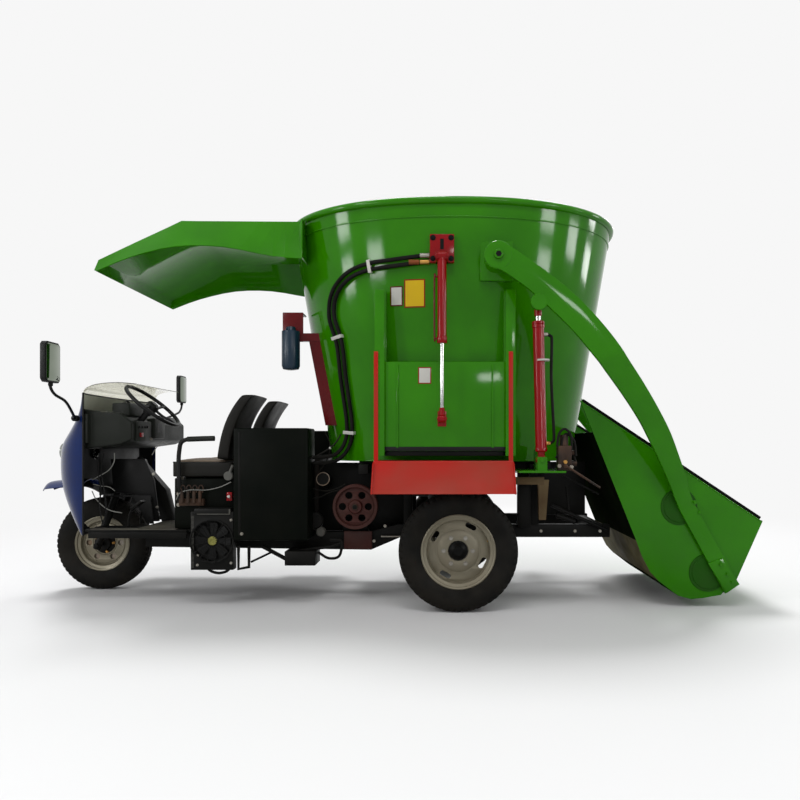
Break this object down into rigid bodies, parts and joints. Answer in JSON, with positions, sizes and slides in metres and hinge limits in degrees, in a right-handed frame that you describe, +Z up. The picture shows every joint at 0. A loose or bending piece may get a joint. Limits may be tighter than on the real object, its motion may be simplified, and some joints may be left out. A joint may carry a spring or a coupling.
{
  "type": "self-propelled vertical feed mixer",
  "caption": "Three-wheeled self-propelled feed mixer: open oval tub with a vertical auger, side discharge door, driver's canopy and a rear loading bucket on lift arms.",
  "frame": {"origin": "on the floor, at the middle of the machine's length and width", "axes": "+X to the rear, +Y to the driver's right side, +Z up"},
  "size_m": [4.942, 2.16, 2.5575],
  "materials": {
    "green_paint": "glossy",
    "black_paint": "satin",
    "primer_steel": "matt",
    "red_paint": "glossy",
    "blue_paint": "glossy",
    "chrome_rod": "polished",
    "tyre_rubber": "matt",
    "hose_rubber": "matt",
    "rim_paint": "satin",
    "worn_steel": "worn",
    "cast_iron": "rough",
    "black_plastic": "moulded",
    "radiator_metal": "matt",
    "seat_cover": "grained",
    "clear_screen": "clear",
    "lamp_lens": "clear"
  },
  "bodies": {
    "machine": {"mixing_tub": "green_paint", "canopy": "green_paint", "left_lift_cylinder_bracket": "green_paint", "right_lift_cylinder_bracket": "green_paint", "left_arm_pivot_bracket": "green_paint", "right_arm_pivot_bracket": "green_paint", "chassis_frame": "black_paint", "rear_axle": "black_paint", "equipment_box": "black_paint", "fuel_tank": "black_paint", "floor_pan": "black_paint", "seat_base": "black_paint", "steering_column": "black_paint", "auger_gearbox": "black_paint", "transfer_gearbox": "black_paint", "tub_subframe": "primer_steel", "door_cylinder_barrel": "red_paint", "filter_bracket": "red_paint", "discharge_chute": "red_paint", "front_fairing": "blue_paint", "front_mudguard": "blue_paint", "filter_canister": "blue_paint", "upper_door_hose": "hose_rubber", "lower_door_hose": "hose_rubber", "engine_block": "cast_iron", "control_valve": "cast_iron", "dashboard": "black_plastic", "armrest": "black_plastic", "left_mirror": "black_plastic", "right_mirror": "black_plastic", "radiator": "radiator_metal", "seat_cushion": "seat_cover", "left_backrest": "seat_cover", "right_backrest": "seat_cover", "windscreen": "clear_screen", "left_headlamp": "lamp_lens", "right_headlamp": "lamp_lens"},
    "left_rear_wheel": {"left_rear_rim": "rim_paint", "left_rear_tyre": "tyre_rubber"},
    "right_rear_wheel": {"right_rear_rim": "rim_paint", "right_rear_tyre": "tyre_rubber"},
    "fork": {"front_fork": "black_paint"},
    "front_wheel": {"front_rim": "rim_paint", "front_tyre": "tyre_rubber"},
    "hand_wheel": {"steering_wheel": "black_plastic"},
    "auger": {"auger": "worn_steel"},
    "pulley": {"drive_pulley": "cast_iron"},
    "fan": {"radiator_fan": "black_plastic"},
    "door": {"discharge_door": "green_paint", "door_cylinder_rod": "chrome_rod"},
    "loader": {"left_lift_arm": "green_paint", "right_lift_arm": "green_paint", "loading_bucket": "green_paint"},
    "left_barrel": {"left_lift_cylinder_barrel": "red_paint", "left_cylinder_hose": "hose_rubber"},
    "right_barrel": {"right_lift_cylinder_barrel": "red_paint", "right_cylinder_hose": "hose_rubber"},
    "left_rod": {"left_lift_cylinder_rod": "chrome_rod"},
    "right_rod": {"right_lift_cylinder_rod": "chrome_rod"}
  },
  "joints": [
    {"name": "left_rear_wheel_spin", "type": "hinge", "parent": "machine", "child": "left_rear_wheel", "pos_m": [0.505, -0.65, 0.3775], "axis": [0, 1, 0], "continuous": true},
    {"name": "right_rear_wheel_spin", "type": "hinge", "parent": "machine", "child": "right_rear_wheel", "pos_m": [0.505, 0.65, 0.3775], "axis": [0, 1, 0], "continuous": true},
    {"name": "front_steering", "type": "hinge", "parent": "machine", "child": "fork", "pos_m": [-2.01271, 0, 0.31761], "axis": [0.342, 0, 0.9397], "range_deg": [-38, 38]},
    {"name": "front_wheel_spin", "type": "hinge", "parent": "fork", "child": "front_wheel", "pos_m": [-2.055, 0, 0.333], "axis": [0, 1, 0], "continuous": true},
    {"name": "hand_wheel_turn", "type": "hinge", "parent": "machine", "child": "hand_wheel", "pos_m": [-1.58, -0.3, 1.314], "axis": [0.6428, 0, 0.766], "range_deg": [-345, 345]},
    {"name": "auger_spin", "type": "hinge", "parent": "machine", "child": "auger", "pos_m": [0.475, 0, 0.9505], "axis": [0, 0, 1], "continuous": true},
    {"name": "pulley_spin", "type": "hinge", "parent": "machine", "child": "pulley", "pos_m": [-0.171, -0.45, 0.638], "axis": [0, 1, 0], "continuous": true},
    {"name": "fan_spin", "type": "hinge", "parent": "machine", "child": "fan", "pos_m": [-1.074, -0.57, 0.43], "axis": [0, 1, 0], "continuous": true},
    {"name": "door_lift", "type": "slide", "parent": "machine", "child": "door", "axis": [0, 0, 1], "range_m": [0, 0.38]},
    {"name": "bucket_lift", "type": "hinge", "parent": "machine", "child": "loader", "pos_m": [0.736, 0, 2.175], "axis": [0, -1, 0], "range_deg": [0, 110]},
    {"name": "left_cylinder_swing", "type": "hinge", "parent": "machine", "child": "left_barrel", "pos_m": [1, -0.875, 0.957], "axis": [0, -1, 0], "range_deg": [-1, 3]},
    {"name": "left_cylinder_reach", "type": "slide", "parent": "left_barrel", "child": "left_rod", "axis": [-0.0234, 0, 0.9997], "range_m": [0, 0.61]},
    {"name": "right_cylinder_swing", "type": "hinge", "parent": "machine", "child": "right_barrel", "pos_m": [1, 0.875, 0.957], "axis": [0, -1, 0], "range_deg": [-1, 3]},
    {"name": "right_cylinder_reach", "type": "slide", "parent": "right_barrel", "child": "right_rod", "axis": [-0.0234, 0, 0.9997], "range_m": [0, 0.61]}
  ],
  "couplings": [
    {"joint": "hand_wheel_turn", "follows": "front_steering", "ratio": 9},
    {"joint": "left_cylinder_swing", "follows": "bucket_lift", "ratio": 0.0167},
    {"joint": "left_cylinder_reach", "follows": "bucket_lift", "m_per_rad": 0.31388},
    {"joint": "right_cylinder_swing", "follows": "bucket_lift", "ratio": 0.0167},
    {"joint": "right_cylinder_reach", "follows": "bucket_lift", "m_per_rad": 0.31388}
  ]
}
